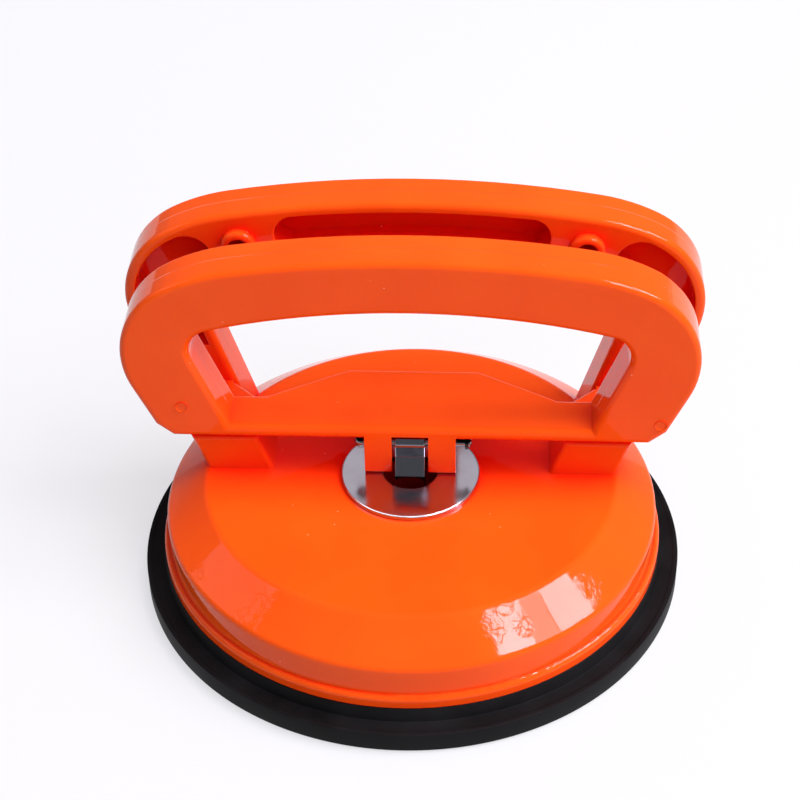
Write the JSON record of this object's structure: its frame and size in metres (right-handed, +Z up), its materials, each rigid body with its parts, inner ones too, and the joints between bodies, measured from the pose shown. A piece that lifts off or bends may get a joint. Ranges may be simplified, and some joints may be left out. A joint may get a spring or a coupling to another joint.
{
  "type": "floor tile suction lifter",
  "caption": "Hand suction lifter: black rubber cup under an orange moulded shell with a fixed handle and a hinged cam lever that draws the cup up.",
  "frame": {"origin": "centre of the pad's sealing face, on the surface that the lifter stands on", "axes": "+Z up out of the surface, X across the handles, Y from the lever back to the fixed handle"},
  "size_m": [0.1256, 0.118, 0.08],
  "materials": {
    "orange_plastic": "high gloss moulded ABS",
    "black_rubber": "semi-matt",
    "chromed_steel": "polished",
    "zinc_steel": "bright zinc"
  },
  "bodies": {
    "body": {"body_shell": "orange_plastic", "cam_washer": "chromed_steel", "rubber_pad": "black_rubber"},
    "link": {"link_strap": "chromed_steel", "insert_plate": "zinc_steel", "link_rivets": "zinc_steel", "hinge_pin": "zinc_steel", "pin_clip": "zinc_steel"},
    "lever": {"lever_handle": "orange_plastic"}
  },
  "joints": [
    {"name": "link_drop", "type": "slide", "parent": "body", "child": "link", "axis": [0, 0, -1], "range_m": [0, 0.0008], "deforming": ["rubber_pad"]},
    {"name": "lever_swing", "type": "hinge", "parent": "link", "child": "lever", "pos_m": [0, 0, 0.0326], "axis": [1, 0, 0], "range_deg": [0, 90]}
  ],
  "couplings": [
    {"joint": "link_drop", "follows": "lever_swing", "m_per_rad": 0.000509}
  ]
}
